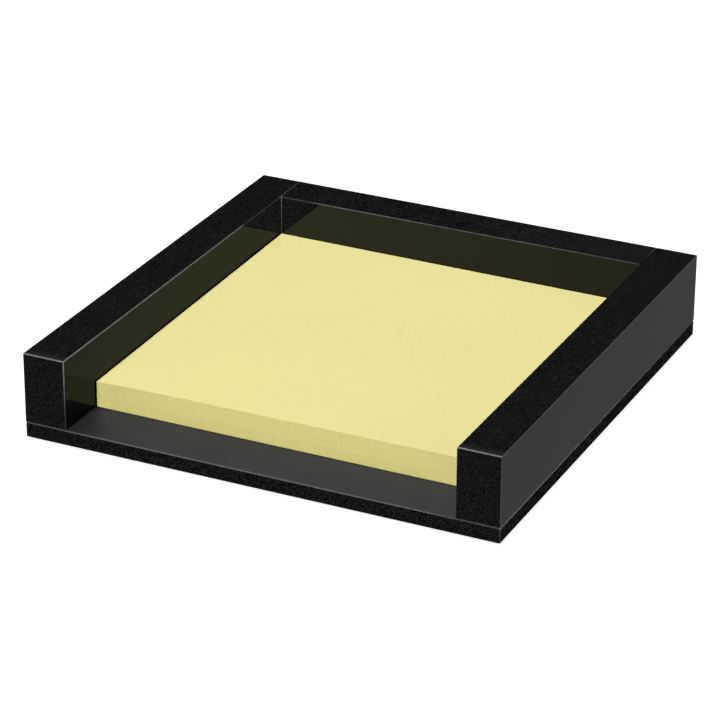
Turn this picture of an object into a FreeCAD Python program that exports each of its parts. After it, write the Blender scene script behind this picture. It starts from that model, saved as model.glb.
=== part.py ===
import FreeCAD, Part
import Sketcher
import os

# Open-front desk holder for a pad of square notes.
#
# Four pieces cut from black acrylic sheet are solvent-cemented together: a thin base
# plate with the full outer size, two side rails that run from front to back along its
# side edges, and a rear rail between the side rails. The front stays open, and a strip
# of bare base plate in front of the pad leaves room for a fingertip. Four thin
# anti-slip feet are stuck under the base plate. A pad of notes lies in the pocket.
#
# Frame: X to the right, Y to the back, Z up, millimetres. The origin is on the desk,
# under the middle of the base plate.

doc = FreeCAD.newDocument("note_holder")

# ---------------------------------------------------------------- driving dimensions
sheet = doc.addObject("Spreadsheet::Sheet", "Sizes")
CELLS = (
    ("note_size", "76.2"),  # side of a square note
    ("paper_thick", "0.113"),  # one sheet of note paper, as stacked
    ("sheet_count", "50"),  # liner, middle sheets and top sheet together
    ("side_gap", "0.9"),  # between the pad and each side rail, were the pad midway
    ("pad_shift", "-0.55"),  # the pad lies nearer to the left rail than midway
    ("rear_gap", "0.2"),  # between the pad and the rear rail
    ("front_apron", "11.2"),  # bare base plate in front of the pad
    ("glue_band", "15"),  # depth of the adhesive band along the rear edge of each note
    ("rail_thick", "8.5"),  # thickness of the two side rails
    ("rear_thick", "9.1"),  # thickness of the rear rail
    ("rail_tall", "13.95"),  # rails above the base plate
    ("base_thick", "3.0"),  # thickness of the base plate
    ("rail_bevel", "0.18"),  # side rails: broken inner upper edge and front upper edge
    ("corner_bevel", "0.15"),  # side rails: broken upright edge at the inner front corner
    ("fine_bevel", "0.08"),  # every other upper or upright rail edge, only just broken
    ("seam_bevel", "0.12"),  # side rails: lower edges along the seam with the base plate
    ("rear_bevel", "0.15"),  # rear rail: broken inner upper edge
    ("meeting_bevel", "0.25"),  # rear rail: broken upright edges that meet the side rails
    ("base_bevel", "0.18"),  # base plate: broken upper edge and corners
    ("base_lower_bevel", "0.1"),  # base plate: lower edge
    ("foot_diameter", "8"),
    ("foot_thick", "0.8"),
    ("foot_bevel", "0.2"),
    ("foot_inset", "9"),  # from a side of the base plate to a foot's centre
)
for row, (alias, value) in enumerate(CELLS, start=1):
    sheet.set("A%d" % row, alias.replace("_", " "))
    sheet.set("B%d" % row, value)
    sheet.setAlias("B%d" % row, alias)
doc.recompute()

INNER_WIDTH = "(Sizes.note_size + 2 * Sizes.side_gap)"
OUTER_WIDTH = "(Sizes.note_size + 2 * Sizes.side_gap + 2 * Sizes.rail_thick)"
OUTER_DEPTH = "(Sizes.front_apron + Sizes.note_size + Sizes.rear_gap + Sizes.rear_thick)"
BASE_TOP = "(Sizes.foot_thick + Sizes.base_thick)"
PAD_FRONT = "(Sizes.front_apron - %s / 2)" % OUTER_DEPTH

subparts = []


# ---------------------------------------------------------------- helpers
def plane_of(body, role):
    for feature in body.Origin.OriginFeatures:
        if feature.Role == role:
            return feature
    raise RuntimeError("%s has no %s" % (body.Label, role))


def new_body(label):
    body = doc.addObject("PartDesign::Body", label)
    body.Label = label
    subparts.append(body)
    return body


def rectangle(body, name, width, depth):
    """A rectangle on the body's XY plane, centred on its origin."""
    sketch = body.newObject("Sketcher::SketchObject", name)
    sketch.AttachmentSupport = [(plane_of(body, "XY_Plane"), "")]
    sketch.MapMode = "FlatFace"
    corners = ((-10, -10), (10, -10), (10, 10), (-10, 10))
    for a, b in zip(corners, corners[1:] + corners[:1]):
        sketch.addGeometry(
            Part.LineSegment(FreeCAD.Vector(a[0], a[1], 0), FreeCAD.Vector(b[0], b[1], 0)),
            False,
        )
    constraint = Sketcher.Constraint
    for i in range(4):
        sketch.addConstraint(constraint("Coincident", i, 2, (i + 1) % 4, 1))
    for i, kind in enumerate(("Horizontal", "Vertical", "Horizontal", "Vertical")):
        sketch.addConstraint(constraint(kind, i))
    # opposite corners are symmetric about the sketch's origin
    sketch.addConstraint(constraint("Symmetric", 0, 1, 2, 1, -1, 1))
    for i, name_, expression in ((0, "width", width), (1, "depth", depth)):
        index = sketch.addConstraint(constraint("Distance", i, 20.0))
        sketch.renameConstraint(index, name_)
        sketch.setExpression("Constraints." + name_, expression)
    return sketch


def pad(body, sketch, name, length):
    feature = body.newObject("PartDesign::Pad", name)
    feature.Profile = sketch
    feature.setExpression("Length", length)
    body.Tip = feature
    doc.recompute()
    return feature


def edges_where(feature, wanted):
    """Names of the feature's edges whose middle point satisfies wanted(point, direction)."""
    names = []
    for i, edge in enumerate(feature.Shape.Edges, start=1):
        middle = edge.valueAt((edge.FirstParameter + edge.LastParameter) / 2)
        ends = [v.Point for v in edge.Vertexes]
        along = (ends[-1] - ends[0]).normalize() if len(ends) == 2 else None
        if wanted(middle, along):
            names.append("Edge%d" % i)
    return names


def bevel(body, feature, name, wanted, size):
    names = edges_where(feature, wanted)
    if not names:
        raise RuntimeError("%s: no edge for %s" % (body.Label, name))
    before = feature.Shape.Volume
    chamfer = body.newObject("PartDesign::Chamfer", name)
    chamfer.Base = (feature, names)
    chamfer.setExpression("Size", size)
    body.Tip = chamfer
    doc.recompute()
    if not chamfer.Shape.Volume < before:
        raise RuntimeError("%s: %s removed nothing" % (body.Label, name))
    return chamfer


def place(thing, x, y, z):
    for axis, expression in (("x", x), ("y", y), ("z", z)):
        thing.setExpression("Placement.Base." + axis, expression)


def near(a, b):
    return abs(a - b) < 1e-6


# ---------------------------------------------------------------- base plate
base_plate = new_body("base_plate")
outline = rectangle(base_plate, "base_outline", OUTER_WIDTH, OUTER_DEPTH)
slab = pad(base_plate, outline, "base_slab", "Sizes.base_thick")
upper = bevel(
    base_plate, slab, "base_broken_edges", lambda p, d: p.z > 1e-3, "Sizes.base_bevel"
)
bevel(
    base_plate, upper, "base_lower_edges", lambda p, d: near(p.z, 0), "Sizes.base_lower_bevel"
)
place(base_plate, "0", "0", "Sizes.foot_thick")

# ---------------------------------------------------------------- side rails
# The lower edges inside the pocket and at the rear stay sharp against the base plate,
# and the two that show, at the front and outside, are broken, which leaves a fine groove
# along the seam. The inner upper edge is broken over the full length, past the end of the
# rear rail.
for label, side in (("left_rail", -1), ("right_rail", 1)):
    rail = new_body(label)
    outline = rectangle(rail, label + "_outline", "Sizes.rail_thick", OUTER_DEPTH)
    bar = pad(rail, outline, label + "_bar", "Sizes.rail_tall")
    box = bar.Shape.BoundBox
    top, front, rear = box.ZMax, box.YMin, box.YMax
    inner, outer = (box.XMax, box.XMin) if side < 0 else (box.XMin, box.XMax)
    seam = bevel(
        rail,
        bar,
        label + "_seam_edges",
        lambda p, d: near(p.z, 0)
        and ((near(p.x, outer) and abs(d.y) > 0.9) or (near(p.y, front) and abs(d.x) > 0.9)),
        "Sizes.seam_bevel",
    )
    wide = bevel(
        rail,
        seam,
        label + "_inner_and_front_edges",
        lambda p, d: near(p.z, top) and (near(p.x, inner) or near(p.y, front)),
        "Sizes.rail_bevel",
    )
    corner = bevel(
        rail,
        wide,
        label + "_front_corner",
        lambda p, d: near(p.x, inner) and near(p.y, front) and abs(d.z) > 0.9,
        "Sizes.corner_bevel",
    )
    bevel(
        rail,
        corner,
        label + "_outer_edges",
        lambda p, d: p.z > 1e-3
        and (
            (near(p.z, top) and (near(p.x, outer) or near(p.y, rear)))
            or (abs(d.z) > 0.9 and (near(p.x, outer) or near(p.y, rear)))
        ),
        "Sizes.fine_bevel",
    )
    place(rail, "%d * (%s - Sizes.rail_thick) / 2" % (side, OUTER_WIDTH), "0", BASE_TOP)

# ---------------------------------------------------------------- rear rail
# It is butted between the side rails, so its short upper edges stay sharp.
rear_rail = new_body("rear_rail")
outline = rectangle(rear_rail, "rear_outline", INNER_WIDTH, "Sizes.rear_thick")
bar = pad(rear_rail, outline, "rear_bar", "Sizes.rail_tall")
box = bar.Shape.BoundBox
top, front, rear = box.ZMax, box.YMin, box.YMax
long_edge = bevel(
    rear_rail,
    bar,
    "rear_inner_upper_edge",
    lambda p, d: near(p.z, top) and near(p.y, front) and abs(d.x) > 0.9,
    "Sizes.rear_bevel",
)
meeting = bevel(
    rear_rail,
    long_edge,
    "rear_meeting_edges",
    lambda p, d: near(p.y, front) and abs(d.z) > 0.9,
    "Sizes.meeting_bevel",
)
bevel(
    rear_rail,
    meeting,
    "rear_outer_upper_edge",
    lambda p, d: near(p.z, top) and near(p.y, rear) and abs(d.x) > 0.9,
    "Sizes.fine_bevel",
)
place(rear_rail, "0", "(%s - Sizes.rear_thick) / 2" % OUTER_DEPTH, BASE_TOP)

# ---------------------------------------------------------------- anti-slip feet
for label, sx, sy in (
    ("foot_front_left", "-1", "-1"),
    ("foot_front_right", "1", "-1"),
    ("foot_rear_left", "-1", "1"),
    ("foot_rear_right", "1", "1"),
):
    foot = new_body(label)
    disc = foot.newObject("Sketcher::SketchObject", label + "_outline")
    disc.AttachmentSupport = [(plane_of(foot, "XY_Plane"), "")]
    disc.MapMode = "FlatFace"
    disc.addGeometry(
        Part.Circle(FreeCAD.Vector(0, 0, 0), FreeCAD.Vector(0, 0, 1), 4.0), False
    )
    disc.addConstraint(Sketcher.Constraint("Coincident", 0, 3, -1, 1))
    index = disc.addConstraint(Sketcher.Constraint("Diameter", 0, 8.0))
    disc.renameConstraint(index, "across")
    disc.setExpression("Constraints.across", "Sizes.foot_diameter")
    button = pad(foot, disc, label + "_disc", "Sizes.foot_thick")
    bevel(foot, button, label + "_rim", lambda p, d: near(p.z, 0), "Sizes.foot_bevel")
    place(
        foot,
        "%s * (%s / 2 - Sizes.foot_inset)" % (sx, OUTER_WIDTH),
        "%s * (%s / 2 - Sizes.foot_inset)" % (sy, OUTER_DEPTH),
        "0",
    )

# ---------------------------------------------------------------- pad of notes
# Every sheet is a flat square of paper. From below: a liner sheet, the middle sheets,
# and the top sheet. The top sheet is in two solids that meet on the front edge of its
# adhesive band, where it bends when its front edge is lifted.


def paper(name, index, y, depth):
    leaf = doc.addObject("Part::Box", name)
    leaf.setExpression("Length", "Sizes.note_size")
    leaf.setExpression("Width", depth)
    leaf.setExpression("Height", "Sizes.paper_thick")
    place(
        leaf,
        "Sizes.pad_shift - Sizes.note_size / 2",
        y,
        "%s + %s * Sizes.paper_thick" % (BASE_TOP, index),
    )
    return leaf


liner = paper("liner_sheet", "0", PAD_FRONT, "Sizes.note_size")
liner.Label = "liner_sheet"
subparts.append(liner)

count = int(sheet.get("sheet_count"))
leaves = [
    paper("note_%02d" % i, str(i), PAD_FRONT, "Sizes.note_size") for i in range(1, count - 1)
]
middle = doc.addObject("Part::Compound", "note_sheets")
middle.Label = "note_sheets"
middle.Links = leaves
subparts.append(middle)

flap = paper(
    "top_sheet_flap",
    "(Sizes.sheet_count - 1)",
    PAD_FRONT,
    "Sizes.note_size - Sizes.glue_band",
)
flap.Label = "top_sheet_flap"
subparts.append(flap)

band = paper(
    "top_sheet_glued_edge",
    "(Sizes.sheet_count - 1)",
    "%s + Sizes.note_size - Sizes.glue_band" % PAD_FRONT,
    "Sizes.glue_band",
)
band.Label = "top_sheet_glued_edge"
subparts.append(band)

doc.recompute()

# ---------------------------------------------------------------- checks and files
failed = [o.Name for o in doc.Objects if "Invalid" in o.State or "Error" in o.State]
if failed:
    raise RuntimeError("failed objects: %s" % failed)
for part in subparts:
    if part.Shape.isNull() or not part.Shape.isValid():
        raise RuntimeError("%s has no valid shape" % part.Label)

os.makedirs("parts", exist_ok=True)
for part in subparts:
    part.Shape.exportStep(os.path.join("parts", part.Label + ".step"))
    box = part.Shape.BoundBox
    print(
        "%-22s %2d solid(s)  %9.3f mm3  X %7.2f %7.2f  Y %7.2f %7.2f  Z %6.2f %6.2f"
        % (
            part.Label,
            len(part.Shape.Solids),
            part.Shape.Volume,
            box.XMin,
            box.XMax,
            box.YMin,
            box.YMax,
            box.ZMin,
            box.ZMax,
        )
    )
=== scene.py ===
import math
import random

import bmesh
import bpy
from mathutils import Euler, Matrix, Vector


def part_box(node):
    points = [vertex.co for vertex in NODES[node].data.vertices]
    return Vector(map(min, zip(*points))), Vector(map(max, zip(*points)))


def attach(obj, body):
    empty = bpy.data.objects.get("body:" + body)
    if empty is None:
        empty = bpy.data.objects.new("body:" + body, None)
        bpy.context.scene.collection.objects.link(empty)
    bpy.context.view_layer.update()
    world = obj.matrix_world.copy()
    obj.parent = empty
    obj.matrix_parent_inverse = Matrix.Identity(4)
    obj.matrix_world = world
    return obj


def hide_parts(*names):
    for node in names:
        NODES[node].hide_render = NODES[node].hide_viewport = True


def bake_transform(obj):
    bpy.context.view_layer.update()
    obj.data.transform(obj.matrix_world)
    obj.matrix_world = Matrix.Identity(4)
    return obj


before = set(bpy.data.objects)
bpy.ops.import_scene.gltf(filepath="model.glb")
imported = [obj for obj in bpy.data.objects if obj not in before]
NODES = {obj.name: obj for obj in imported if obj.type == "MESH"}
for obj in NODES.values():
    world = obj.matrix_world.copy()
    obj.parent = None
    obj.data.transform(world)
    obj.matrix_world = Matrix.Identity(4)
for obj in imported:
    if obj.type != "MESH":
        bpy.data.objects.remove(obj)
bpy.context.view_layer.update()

scene = bpy.context.scene


# ------------------------------------------------------------------ node helpers
class Tree:
    """A small helper around one material's node tree."""

    def __init__(self, name):
        self.mat = bpy.data.materials.new(name)
        self.mat.use_nodes = True
        self.nt = self.mat.node_tree
        self.nt.nodes.clear()
        self.out = self.nt.nodes.new("ShaderNodeOutputMaterial")

    def node(self, kind, **settings):
        n = self.nt.nodes.new("ShaderNode" + kind)
        for key, value in settings.items():
            setattr(n, key, value)
        return n

    def link(self, a, b):
        self.nt.links.new(a, b)

    def put(self, socket, value):
        if isinstance(value, bpy.types.NodeSocket):
            self.link(value, socket)
        else:
            socket.default_value = value

    def math(self, operation, a, b=None, c=None, clamp=False):
        n = self.node("Math", operation=operation, use_clamp=clamp)
        for i, v in enumerate((a, b, c)):
            if v is not None:
                self.put(n.inputs[i], v)
        return n.outputs[0]

    def ramp(self, value, low, high, to_low=0.0, to_high=1.0, smooth=False):
        n = self.node("MapRange", clamp=True)
        if smooth:
            n.interpolation_type = "SMOOTHSTEP"
        for i, v in enumerate((value, low, high, to_low, to_high)):
            self.put(n.inputs[i], v)
        return n.outputs[0]

    def colour_mix(self, factor, a, b):
        n = self.node("Mix", data_type="RGBA", blend_type="MIX")
        n.clamp_factor = True
        self.put(n.inputs["Factor"], factor)
        self.put(n.inputs[6], a)
        self.put(n.inputs[7], b)
        return n.outputs[2]

    def blend(self, factor, a, b):
        n = self.node("Mix", data_type="FLOAT", clamp_factor=True)
        for i, v in enumerate((factor, None, a, b)):
            if v is not None and i != 1:
                self.put(n.inputs[i], v)
        return n.outputs[0]

    def noise(self, vector, scale, detail=2.0, roughness=0.5, kind="3D"):
        n = self.node("TexNoise", noise_dimensions=kind)
        self.put(n.inputs["Vector"], vector)
        n.inputs["Scale"].default_value = scale
        n.inputs["Detail"].default_value = detail
        n.inputs["Roughness"].default_value = roughness
        return n.outputs["Fac"]

    def object_place(self):
        return self.node("TexCoord").outputs["Object"]

    def split(self, vector):
        n = self.node("SeparateXYZ")
        self.put(n.inputs[0], vector)
        return n.outputs


def grey(v):
    return (v, v, v, 1.0)


# ------------------------------------------------------------------ materials
def acrylic(name, face_axis, face, cut, broken, upper=None, added_grey=None, painted_front_highlight=0.0,
            inner=None, corner_reflection=None, painted_shade=None, flank=1.0):
    """Black acrylic sheet. Its two sheet faces, square to face_axis, are glossy or satin.
    Its cut edges are sawn and sanded, so they are matt with a fine speckle. The broken
    edges between them are pale, partly from scraping and partly as a painted highlight.

    The surface is one metal-like shader, a body grey under an even mirror: base = mirror
    + body and metallic = mirror / base. Towards grazing angles its own mirror fades, and a
    glossy layer takes over, so that the sheet face mirrors nearly the same share at every
    angle. face is (mirror, body low, body high, roughness). broken(t, xyz, normal) gives
    the grey of the broken edges, partly paleness from scraping and partly painted highlight.
    upper(t, xyz) gives the tone of the upper cut edge and the contrast of its grain.
    added_grey(t, xyz) is added to the cut edges. inner(t, xyz) gives a mask of the side that
    faces the pocket, how strongly it mirrors, and the grey of its film; that side has a
    slightly green and blue cast. corner_reflection is (where(t, xyz), grey, colour, scale,
    unevenness) of a painted reflection of the neighbouring rail in that side's upper corner.
    painted_shade(t, xyz) darkens the sheet face with painted shade. flank is the tone of the
    cut edges to the left and right, painted light that lifts them where less light reaches
    them. cut holds the greys of the grain on upright edges and how softly it passes between
    them, and the greys of the upper edges."""
    t = Tree(name)
    place = t.object_place()
    xyz = t.split(place)
    normal = t.split(t.node("TexCoord").outputs["Normal"])
    along = t.math("ABSOLUTE", normal[face_axis])
    is_face = t.ramp(along, 0.85, 0.95)
    biggest = t.math(
        "MAXIMUM",
        t.math("ABSOLUTE", normal[0]),
        t.math("MAXIMUM", t.math("ABSOLUTE", normal[1]), t.math("ABSOLUTE", normal[2])),
    )
    is_bevel = t.ramp(biggest, 0.98, 0.9)
    mirror, body_low, body_high, rough = face

    # cut edge: a sanded grain with brighter grit in it, coarser on the upper edges
    patch = t.noise(place, 260.0, 2.0, 0.5)
    grit = t.math("MULTIPLY", t.noise(place, 2300.0, 0.0, 0.5), 0.28)
    fine = t.math("MULTIPLY", t.noise(place, 4200.0, 1.0, 0.5), 0.72)
    coarse = t.math("MULTIPLY", t.noise(place, 2900.0, 1.0, 0.5), 0.72)
    up = t.ramp(t.math("ABSOLUTE", normal[2]), 0.85, 0.95)
    grain = t.math("ADD", t.blend(up, fine, coarse), grit)
    upper_grey = t.ramp(grain, 0.395, 0.625, cut[1][0], cut[1][1])
    if upper:
        tone, contrast = upper(t, xyz)
        middle = cut[1][0] * 0.54 + cut[1][1] * 0.46
        upper_grey = t.math("SUBTRACT", upper_grey, middle)
        upper_grey = t.math("ADD", t.math("MULTIPLY", upper_grey, contrast), middle)
        upper_grey = t.math("MULTIPLY", upper_grey, tone)
    upright_grey = t.ramp(grain, 0.51 - cut[0][2], 0.51 + cut[0][2], cut[0][0], cut[0][1])
    cut_grey = t.blend(up, upright_grey, upper_grey)
    worn = t.blend(up, t.ramp(patch, 0.3, 0.7, 0.97, 1.03), t.ramp(patch, 0.3, 0.7, 0.9, 1.1))
    cut_grey = t.math("MULTIPLY", cut_grey, worn)
    # painted light: flank lifts the cut edges to the left and right, which get less light than the front
    # ones
    if flank != 1.0:
        sideways = t.ramp(t.math("ABSOLUTE", normal[0]), 0.6, 0.9, 1.0, flank)
        cut_grey = t.math("MULTIPLY", cut_grey, sideways)
    if painted_front_highlight:
        # painted highlight: the top is lighter close to the front end, where its rounded front edge would
        # catch the light
        front = t.ramp(xyz[1], -0.04555, -0.04835, 0.0, 1.0)
        front = t.math("MULTIPLY", t.math("POWER", front, 1.6), up)
        cut_grey = t.math("ADD", cut_grey, t.math("MULTIPLY", front, painted_front_highlight))

    if added_grey:
        cut_grey = t.math("ADD", cut_grey, added_grey(t, xyz))

    # sheet face: a faint haze in the body, with a mottled painted reflection where two rails meet
    haze = t.noise(place, 70.0, 3.0, 0.5)
    face_grey = t.ramp(haze, 0.3, 0.7, body_low, body_high)
    # painted shade: the sheet face is darkened where the given mask says
    if painted_shade:
        face_grey = t.math("MULTIPLY", face_grey, painted_shade(t, xyz))
    if inner:
        pocket_side, strength, film = inner(t, xyz)
        pocket_side = t.math("MULTIPLY", pocket_side, is_face)
        face_grey = t.math("ADD", face_grey, t.math("MULTIPLY", pocket_side, film))
    # painted reflection: a mottled grey in the pocket side's upper corner stands in for the neighbouring
    # rail mirrored there
    if corner_reflection:
        where, reflection_grey, reflection_colour, reflection_scale, uneven = corner_reflection
        mottle = t.noise(place, reflection_scale, 1.0, 0.5)
        painted_reflection = t.ramp(mottle, 0.35, 0.65, reflection_grey * (1 - uneven), reflection_grey * (1 + uneven))
        painted_reflection = t.math("MULTIPLY", t.math("MULTIPLY", where(t, xyz), pocket_side), painted_reflection)

    # broken edge: pale, partly from scraping and partly as a painted highlight, with small nicks
    nick = t.noise(place, 1100.0, 2.0, 0.6)
    bevel_grey = t.math("MULTIPLY", broken(t, xyz, normal), t.ramp(nick, 0.3, 0.7, 0.8, 1.2))

    body = t.blend(is_bevel, t.blend(is_face, cut_grey, face_grey), bevel_grey)
    flat = t.math("MULTIPLY", is_face, t.math("SUBTRACT", 1.0, is_bevel))
    shine = t.math("MULTIPLY", flat, mirror)
    cast = (1.0, 1.0, 1.01)
    if inner:
        shine = t.math("MULTIPLY", shine, t.blend(pocket_side, 1.0, strength))
        cast = [t.blend(pocket_side, 1.0, c) for c in INNER_CAST]
    total = t.math("ADD", body, shine)
    colour = t.node("CombineColor")
    for i in range(3):
        part = t.math("MULTIPLY", total, cast[i])
        if corner_reflection:
            part = t.math("ADD", part, t.math("MULTIPLY", painted_reflection, reflection_colour[i]))
        t.put(colour.inputs[i], part)
    if corner_reflection:
        total = t.math("ADD", total, painted_reflection)

    p = t.node("BsdfPrincipled")
    t.link(colour.outputs[0], p.inputs["Base Color"])
    t.link(t.math("DIVIDE", shine, total), p.inputs["Metallic"])
    smooth = t.ramp(haze, 0.3, 0.7, rough * 0.92, rough * 1.08)
    t.put(p.inputs["Roughness"], t.blend(flat, 0.62, smooth))
    p.inputs["Specular IOR Level"].default_value = 0.0
    p.inputs["Specular Tint"].default_value = (0.0, 0.0, 0.0, 1.0)
    bump = t.node("Bump")
    bump.inputs["Strength"].default_value = 0.3
    bump.inputs["Distance"].default_value = 0.00003
    t.link(t.math("MULTIPLY", grain, t.math("SUBTRACT", 1.0, flat)), bump.inputs["Height"])
    t.link(bump.outputs[0], p.inputs["Normal"])

    aslant = t.node("LayerWeight")
    aslant.inputs["Blend"].default_value = 0.5
    lean = aslant.outputs["Facing"]
    takeover = t.ramp(lean, 0.3, 0.5)
    grazing = t.ramp(lean, 0.66, 0.72, 1.0, 1.22)
    share = t.math("MULTIPLY", t.math("MULTIPLY", shine, takeover), grazing)
    gloss = t.node("BsdfGlossy")
    gloss.inputs["Color"].default_value = (1.0, 1.0, 1.0, 1.0)
    if inner:
        white = t.node("CombineColor")
        for i in range(3):
            t.put(white.inputs[i], cast[i])
        t.link(white.outputs[0], gloss.inputs["Color"])
    gloss.inputs["Roughness"].default_value = rough
    both = t.node("MixShader")
    t.link(share, both.inputs[0])
    t.link(p.outputs[0], both.inputs[1])
    t.link(gloss.outputs[0], both.inputs[2])
    t.link(both.outputs[0], t.out.inputs["Surface"])
    return t.mat


INNER_CAST = (0.89, 0.98, 1.06)


def side_rail_inner(t, xyz):
    side = t.ramp(t.math("ABSOLUTE", xyz[0]), 0.0415, 0.0405)
    strength = t.ramp(xyz[1], -0.0483, 0.010, 0.82, 1.02)
    near = t.ramp(xyz[1], -0.042, -0.022, 1.0, 0.0)
    level = t.blend(near, 1.0, t.ramp(xyz[2], 0.0062, 0.0160, 1.20, 0.90))
    film = t.ramp(xyz[1], -0.046, -0.028, 0.0028, 0.0058)
    return side, t.math("MULTIPLY", strength, level), film


def side_rail_corner_reflection(t, xyz):
    """Painted reflection: a mottled grey in the upper corner, above a slanted line down to the pad's rear
    edge, stands in for the rear rail mirrored in this face.
    """
    above = t.math("ADD", xyz[2], t.math("MULTIPLY", xyz[1], 0.503))
    inside = t.ramp(above, 0.02892, 0.03002, smooth=True)
    return t.math("MULTIPLY", inside, t.ramp(xyz[1], 0.0185, 0.0290, 0.7, 1.0))


def rear_rail_inner(t, xyz):
    side = t.ramp(xyz[1], 0.0420, 0.0410)
    return side, t.ramp(xyz[0], -0.0355, 0.0385, 1.0, 0.70), 0.0


# painted reflection: a mottled grey in the rear rail's upper corner, above a slanted line, stands in for
# the side rail mirrored there
def rear_rail_corner_reflection(t, xyz):
    above = t.math("SUBTRACT", xyz[2], t.math("MULTIPLY", xyz[0], 1.01))
    inside = t.ramp(above, 0.04811, 0.04921, smooth=True)
    return t.math("MULTIPLY", inside, t.ramp(xyz[0], -0.0290, -0.0340, 0.8, 1.0))


def side_rail_upper(t, xyz):
    """The grain is rubbed smooth towards the rear right corner."""
    return 1.0, t.ramp(t.math("ADD", xyz[0], xyz[1]), 0.060, 0.086, 1.0, 0.3)


def rear_rail_upper(t, xyz):
    tone = t.ramp(xyz[0], -0.004, 0.018, 1.0, 1.28, smooth=True)
    contrast = t.ramp(xyz[0], 0.0, 0.024, 1.38, 1.0)
    worn = t.ramp(t.math("ADD", xyz[0], xyz[1]), 0.060, 0.086, 1.0, 0.5)
    return tone, t.math("MULTIPLY", contrast, worn)


def rear_rail_end(t, xyz):
    """The upper border of the right end is a little lighter towards the back, in the joint's groove."""
    groove_band = t.math("MULTIPLY", t.ramp(xyz[0], 0.03890, 0.03895), t.ramp(xyz[2], 0.01751, 0.01757))
    groove_band = t.math("MULTIPLY", groove_band, t.ramp(xyz[2], 0.01777, 0.01774))
    return t.math("MULTIPLY", groove_band, t.ramp(xyz[1], 0.0420, 0.0472, 0.0, 0.16))


def side_rail_edges(t, xyz, normal):
    """Painted highlight, with some paleness from scraping: the inner upper edge is lightest
    near the front and hardly light at the back, the front upper edge is lightest, the upright
    one in front is lighter at its top, and the outer edges are only just broken."""
    edge_highlight = t.ramp(xyz[1], -0.0483, -0.030, 0.170, 0.128)
    edge_highlight = t.math("MULTIPLY", edge_highlight, t.ramp(xyz[1], -0.002, 0.020, 1.0, 0.86))
    edge_highlight = t.math("MULTIPLY", edge_highlight, t.ramp(xyz[1], 0.0210, 0.0242, 1.0, 0.29, smooth=True))
    edge_highlight = t.blend(t.ramp(xyz[1], 0.0382, 0.0397), edge_highlight, 0.085)
    front = t.ramp(t.math("MULTIPLY", normal[1], -1.0), 0.5, 0.65)
    upright = t.ramp(t.math("ABSOLUTE", normal[2]), 0.3, 0.1)
    outer = t.ramp(t.math("ABSOLUTE", xyz[0]), 0.0473, 0.04735)
    away = t.ramp(t.math("MULTIPLY", normal[0], -1.0), 0.5, 0.65)
    edge_highlight = t.blend(outer, edge_highlight, 0.085)
    edge_highlight = t.blend(front, edge_highlight, 0.145)
    tall = t.blend(outer, t.ramp(xyz[2], 0.0067, 0.0173, 0.030, 0.168), 0.070)
    edge_highlight = t.blend(upright, edge_highlight, tall)
    return t.blend(away, edge_highlight, 0.02)


# painted highlight, with some paleness from scraping: the inner upper edge is lighter towards the left and
# dimmer at both ends, and the upright edges are lighter towards the top, mostly on the left
def rear_rail_edges(t, xyz, normal):
    edge_highlight = t.ramp(xyz[0], -0.026, 0.004, 0.090, 0.067)
    edge_highlight = t.math("MULTIPLY", edge_highlight, t.ramp(xyz[0], -0.0322, -0.0303, 0.48, 1.0))
    edge_highlight = t.math("MULTIPLY", edge_highlight, t.ramp(xyz[0], 0.016, 0.038, 1.0, 0.66))
    upright = t.ramp(t.math("ABSOLUTE", normal[2]), 0.3, 0.1)
    tall = t.ramp(xyz[2], 0.0093, 0.0177, 0.12, 0.36)
    tall = t.math("MULTIPLY", tall, t.ramp(xyz[0], -0.01, 0.01, 1.0, 0.12))
    return t.blend(upright, edge_highlight, tall)


# painted highlight, with some paleness from scraping: the base plate's front upper edge is dimmer under
# the rails' front ends, and its side edges are lighter towards the front
def base_edges(t, xyz, normal):
    side = t.ramp(t.math("ABSOLUTE", normal[0]), 0.5, 0.65)
    upright = t.ramp(t.math("ABSOLUTE", normal[2]), 0.3, 0.1)
    front = t.ramp(xyz[0], -0.047, 0.047, 0.094, 0.078)
    under = t.ramp(t.math("ABSOLUTE", xyz[0]), 0.0325, 0.0395, 1.0, 0.64)
    front = t.math("MULTIPLY", front, under)
    flank = t.ramp(xyz[1], -0.035, 0.046, 0.36, 0.15)
    return t.blend(upright, t.blend(side, front, flank), 0.035)


def base_painted_shade(t, xyz):
    """Painted shade: the pocket's floor is darker along the left rail, in a narrow strip next
    to the pad and in a wider, softer one near the front edge."""
    start = t.ramp(xyz[1], -0.0462, -0.0395, -0.0374, -0.0391)
    end = t.ramp(xyz[1], -0.0462, -0.0395, -0.0298, -0.0356)
    rise = t.ramp(xyz[0], start, end, 0.37, 0.845, smooth=True)
    rest = t.ramp(xyz[0], end, -0.024, 0.0, 0.155)
    deep = t.ramp(xyz[1], -0.0462, -0.0395, 1.02, 0.93)
    return t.math("MULTIPLY", t.math("ADD", rise, rest), deep)


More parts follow.
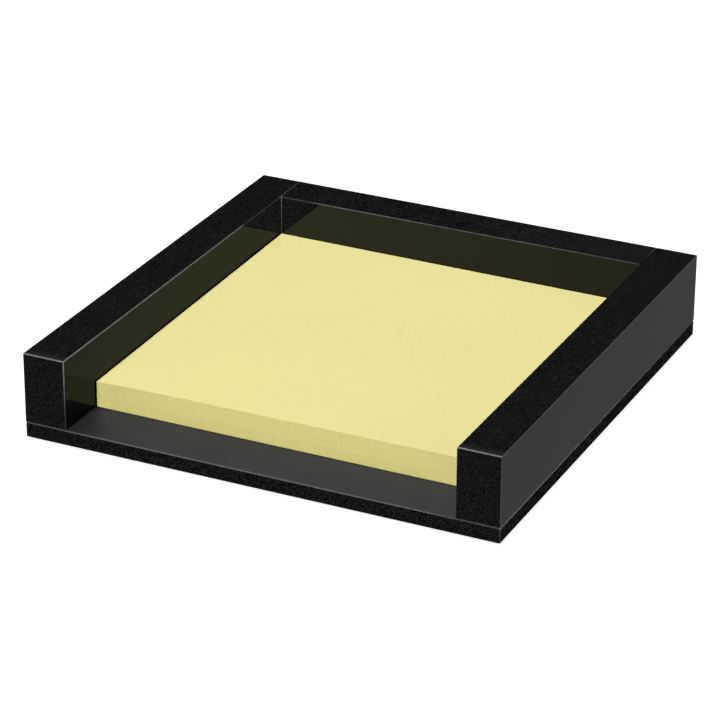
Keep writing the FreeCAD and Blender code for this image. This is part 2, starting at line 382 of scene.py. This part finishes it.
def paper(name, colour, edge_colour):
    """Coloured note paper: a matt fibrous face with painted shade that darkens it a little
    towards its front right corner, and a cut side that is a little deeper, with painted light
    that makes it paler towards the foot of the stack and at its corners."""
    t = Tree(name)
    place = t.object_place()
    normal = t.split(t.node("TexCoord").outputs["Normal"])
    up = t.ramp(t.math("ABSOLUTE", normal[2]), 0.5, 0.9)
    fibre = t.noise(place, 2600.0, 4.0, 0.6)
    cloud = t.noise(place, 38.0, 1.0, 0.4)
    tone = t.math("ADD", t.math("MULTIPLY", fibre, 0.68), t.math("MULTIPLY", cloud, 0.32))
    light = tuple(min(1.0, c * 1.03) for c in colour) + (1.0,)
    dark = tuple(c * 0.97 for c in colour) + (1.0,)
    face = t.colour_mix(t.ramp(tone, 0.35, 0.65), dark, light)
    side = t.colour_mix(
        t.ramp(fibre, 0.3, 0.7),
        tuple(c * 0.95 for c in edge_colour) + (1.0,),
        tuple(min(1.0, c * 1.05) for c in edge_colour) + (1.0,),
    )
    x, y, z = t.split(place)
    # painted shade: the face is darker towards its front right corner
    pad_shade = t.math("MULTIPLY", t.ramp(x, -0.008, 0.035, 0.0, 0.068), t.ramp(y, 0.022, -0.034, 0.12, 1.0))
    face_scale = t.node("VectorMath", operation="SCALE")
    t.put(face_scale.inputs[0], face)
    t.put(face_scale.inputs["Scale"], t.math("SUBTRACT", 1.0, pad_shade))
    # painted light: the cut side is paler towards the foot of the stack and at its left and right ends
    paler = t.ramp(z, 0.0038, 0.0094, 1.13, 0.91)
    paler = t.math("MULTIPLY", paler, t.ramp(x, -0.0387, -0.0352, 1.16, 1.0))
    paler = t.math("MULTIPLY", paler, t.ramp(x, 0.024, 0.036, 1.0, 1.035))
    side_scale = t.node("VectorMath", operation="SCALE")
    t.put(side_scale.inputs[0], side)
    t.put(side_scale.inputs["Scale"], paler)
    p = t.node("BsdfPrincipled")
    t.link(t.colour_mix(up, side_scale.outputs[0], face_scale.outputs[0]), p.inputs["Base Color"])
    t.put(p.inputs["Roughness"], t.ramp(fibre, 0.3, 0.7, 0.82, 0.95))
    p.inputs["Specular IOR Level"].default_value = 0.15
    bump = t.node("Bump")
    bump.inputs["Strength"].default_value = 0.12
    bump.inputs["Distance"].default_value = 0.00003
    t.link(fibre, bump.inputs["Height"])
    t.link(bump.outputs[0], p.inputs["Normal"])
    t.link(p.outputs[0], t.out.inputs["Surface"])
    return t.mat


def rubber(name):
    t = Tree(name)
    place = t.object_place()
    grain = t.noise(place, 1800.0, 3.0, 0.6)
    p = t.node("BsdfPrincipled")
    t.link(t.colour_mix(grain, (0.02, 0.02, 0.02, 1), (0.035, 0.034, 0.033, 1)), p.inputs["Base Color"])
    t.put(p.inputs["Roughness"], t.ramp(grain, 0.3, 0.7, 0.65, 0.85))
    bump = t.node("Bump")
    bump.inputs["Strength"].default_value = 0.3
    bump.inputs["Distance"].default_value = 0.00004
    t.link(grain, bump.inputs["Height"])
    t.link(bump.outputs[0], p.inputs["Normal"])
    t.link(p.outputs[0], t.out.inputs["Surface"])
    return t.mat


def floor_paint(name):
    """A lit white table: white paint with a little light of its own."""
    t = Tree(name)
    place = t.object_place()
    cloud = t.noise(place, 3.0, 3.0, 0.5)
    p = t.node("BsdfPrincipled")
    t.link(t.colour_mix(cloud, (0.335, 0.335, 0.335, 1), (0.345, 0.345, 0.345, 1)), p.inputs["Base Color"])
    p.inputs["Roughness"].default_value = 0.9
    p.inputs["Specular IOR Level"].default_value = 0.0
    p.inputs["Emission Color"].default_value = (1, 1, 1, 1)
    p.inputs["Emission Strength"].default_value = 0.9
    t.link(p.outputs[0], t.out.inputs["Surface"])
    return t.mat


# the grain of the rails' cut edges, and the rougher one of the base plate's
CUT = ((0.0008, 0.0128, 0.13), (0.0034, 0.0130))
SAWN = ((0.0002, 0.0136, 0.078), (0.0034, 0.0130))
ACRYLIC_SIDE = acrylic(
    "acrylic_side_rail",
    0,
    (0.0312, 0.0032, 0.0044, 0.035),
    CUT,
    side_rail_edges,
    upper=side_rail_upper,
    # painted highlight behind the front upper edge
    painted_front_highlight=0.016,
    inner=side_rail_inner,
    # painted reflection in the upper rear corner of the pocket side
    corner_reflection=(side_rail_corner_reflection, 0.0138, (0.76, 0.78, 2.2), 1700.0, 0.95),
)
ACRYLIC_REAR = acrylic(
    "acrylic_rear_rail",
    1,
    (0.030, 0.0026, 0.0038, 0.035),
    CUT,
    rear_rail_edges,
    upper=rear_rail_upper,
    added_grey=rear_rail_end,
    inner=rear_rail_inner,
    # painted reflection in the upper left corner of the pocket side
    corner_reflection=(rear_rail_corner_reflection, 0.0056, (0.77, 0.75, 1.38), 2400.0, 0.80),
)
ACRYLIC_BASE = acrylic(
    "acrylic_base_plate",
    2,
    (0.006, 0.0385, 0.0435, 0.5),
    SAWN,
    base_edges,
    # painted shade along the left rail
    painted_shade=base_painted_shade,
    # painted light on the left and right cut edges
    flank=1.55,
)
NOTE_PAPER = paper("note_paper", (0.788, 0.727, 0.310), (0.78, 0.715, 0.275))
# painted shade: the liner's cut side is near black, a dark line at the foot of the stack
LINER_PAPER = paper("liner_paper", (0.30, 0.235, 0.14), (0.03, 0.026, 0.012))
FOOT_RUBBER = rubber("foot_rubber")


def dress(node, mat):
    mesh = NODES[node].data
    if not mesh.materials:
        mesh.materials.append(mat)
    for i in range(len(NODES[node].material_slots)):
        NODES[node].material_slots[i].material = mat


dress("left_rail", ACRYLIC_SIDE)
dress("right_rail", ACRYLIC_SIDE)
dress("rear_rail", ACRYLIC_REAR)
dress("base_plate", ACRYLIC_BASE)
dress("liner_sheet", LINER_PAPER)
for n in ("foot_front_left", "foot_front_right", "foot_rear_left", "foot_rear_right"):
    dress(n, FOOT_RUBBER)


# ------------------------------------------------------------------ the pad of notes
def new_piece(name, bm, mat):
    mesh = bpy.data.meshes.new(name)
    bm.normal_update()
    bm.to_mesh(mesh)
    bm.free()
    ob = bpy.data.objects.new(name, mesh)
    scene.collection.objects.link(ob)
    mesh.materials.append(mat)
    return ob


def closed_sheet(bm, xs, ys, z_low, z_high, place=None):
    """A closed sheet on a grid of columns xs and rows ys. place(x, y, z) gives each point."""
    grid = {}
    for level, z in ((0, z_low), (1, z_high)):
        for r, y in enumerate(ys):
            for c, x in enumerate(xs):
                grid[level, r, c] = bm.verts.new(place(x, y, z) if place else (x, y, z))
    R, C = len(ys) - 1, len(xs) - 1
    for r in range(R):
        for c in range(C):
            bm.faces.new((grid[1, r, c], grid[1, r, c + 1], grid[1, r + 1, c + 1], grid[1, r + 1, c]))
            bm.faces.new((grid[0, r, c], grid[0, r + 1, c], grid[0, r + 1, c + 1], grid[0, r, c + 1]))
    for r in range(R):
        bm.faces.new((grid[0, r, 0], grid[1, r, 0], grid[1, r + 1, 0], grid[0, r + 1, 0]))
        bm.faces.new((grid[0, r, C], grid[0, r + 1, C], grid[1, r + 1, C], grid[1, r, C]))
    for c in range(C):
        bm.faces.new((grid[0, 0, c], grid[0, 0, c + 1], grid[1, 0, c + 1], grid[1, 0, c]))
        bm.faces.new((grid[0, R, c], grid[1, R, c], grid[1, R, c + 1], grid[0, R, c + 1]))


rng = random.Random(4173)
stack_lo, stack_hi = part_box("note_sheets")


def settled(x, y, z):
    """The stack is thicker along its glued rear edge, and pressed down at its front left
    corner."""
    u = (x - stack_lo.x) / (stack_hi.x - stack_lo.x)
    v = (y - stack_lo.y) / (stack_hi.y - stack_lo.y)
    front = PRESS[0] * (1 - u) + PRESS[1] * u - PRESS[4] * math.exp(-u / 0.16)
    rear = PRESS[2] * (1 - u) + PRESS[3] * u
    share = front * (1 - v) + rear * v
    return stack_lo.z + (z - stack_lo.z) * share


def laid(x, y, z):
    """The settled stack lies a little askew, nearer to the left rail at its front."""
    return x - 0.00008 + y * 0.0009, y - x * 0.0009, settled(x, y, z)


PRESS = (0.98, 1.03, 1.05, 0.985, 0.06)
ACROSS = [0, 0.04, 0.08, 0.13, 0.19, 0.26, 0.35, 0.5, 0.75, 1]
ALONG = [0, 0.25, 0.5, 0.75, 1]
SHEETS = 48
pitch = (stack_hi.z - stack_lo.z) / SHEETS
bm = bmesh.new()
for i in range(SHEETS):
    z = stack_lo.z + i * pitch
    dx, dy, turn = rng.gauss(0, 0.000018), rng.gauss(0, 0.000018), rng.gauss(0, 0.00018)
    closed_sheet(
        bm,
        [stack_lo.x + (stack_hi.x - stack_lo.x) * u for u in ACROSS],
        [stack_lo.y + (stack_hi.y - stack_lo.y) * v for v in ALONG],
        z,
        z + pitch * 0.97,
        lambda x, y, z: laid(x + dx - y * turn, y + dy + x * turn, z),
    )
sheets = new_piece("pad_sheets", bm, NOTE_PAPER)
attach(sheets, "note_pad")
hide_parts("note_sheets")

# The top sheet is one closed mesh, with its rows closest together just in front of its glued edge.
flap_lo, flap_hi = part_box("top_sheet_flap")
band_lo, band_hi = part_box("top_sheet_glued_edge")
fold = flap_hi.y
steps = [flap_lo.y + (fold - 0.010 - flap_lo.y) * i / 24 for i in range(24)]
steps += [fold - 0.010 + 0.010 * i / 20 for i in range(20)]
steps += [fold + (band_hi.y - fold) * i / 6 for i in range(7)]
columns = [flap_lo.x + (flap_hi.x - flap_lo.x) * i / 24 for i in range(25)]
bm = bmesh.new()
closed_sheet(
    bm,
    columns,
    steps,
    flap_lo.z + 0.000004,
    flap_hi.z,
    laid,
)
top_sheet = new_piece("top_sheet", bm, NOTE_PAPER)
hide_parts("top_sheet_glued_edge", "top_sheet_flap")
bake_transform(top_sheet)

# ------------------------------------------------------------------ stage
floor_mesh = bpy.data.meshes.new("floor")
s = 6.0
floor_mesh.from_pydata([(-s, -s, 0), (s, -s, 0), (s, s, 0), (-s, s, 0)], [], [(0, 1, 2, 3)])
floor = bpy.data.objects.new("floor", floor_mesh)
scene.collection.objects.link(floor)
floor_mesh.materials.append(floor_paint("floor_paint"))

# The room's light: white low down all round, and dimmer overhead, where the lamps are.
world = bpy.data.worlds.new("studio")
scene.world = world
world.use_nodes = True
wt = world.node_tree
wt.nodes.clear()
w_out = wt.nodes.new("ShaderNodeOutputWorld")
w_back = wt.nodes.new("ShaderNodeBackground")
w_place = wt.nodes.new("ShaderNodeTexCoord")
w_split = wt.nodes.new("ShaderNodeSeparateXYZ")
w_level = wt.nodes.new("ShaderNodeMapRange")
w_level.interpolation_type = "SMOOTHSTEP"
for i, v in enumerate((0.06, 0.22, 1.0, 0.04), start=1):
    w_level.inputs[i].default_value = v
wt.links.new(w_place.outputs["Generated"], w_split.inputs[0])
wt.links.new(w_split.outputs[2], w_level.inputs[0])
w_back.inputs["Color"].default_value = (1, 1, 1, 1)
wt.links.new(w_level.outputs[0], w_back.inputs["Strength"])
wt.links.new(w_back.outputs[0], w_out.inputs["Surface"])


def softbox(name, place, target, size, power, shape="RECTANGLE"):
    light = bpy.data.lights.new(name, "AREA")
    light.shape = shape
    light.size, light.size_y = size
    light.energy = power
    ob = bpy.data.objects.new(name, light)
    scene.collection.objects.link(ob)
    ob.location = place
    ob.rotation_euler = (Vector(target) - Vector(place)).to_track_quat("-Z", "Y").to_euler()
    return ob


softbox("key", (0.06, -1.44, 1.40), (0, 0, 0.01), (0.5, 0.5), 29.8)
softbox("overhead", (0.0, 0.0, 1.3), (0, 0, 0), (0.24, 0.24), 8.5)

# ------------------------------------------------------------------ camera
camera = bpy.data.cameras.new("camera")
camera.lens = 162.149
camera.sensor_width = 36.0
camera.clip_start, camera.clip_end = 0.01, 50.0
eye = bpy.data.objects.new("camera", camera)
scene.collection.objects.link(eye)
eye.location = (0.237198, -0.506350, 0.269341)
eye.rotation_euler = Euler((1.130077, -0.005162, 0.444189), "XYZ")
scene.camera = eye

scene.view_settings.view_transform = "Standard"
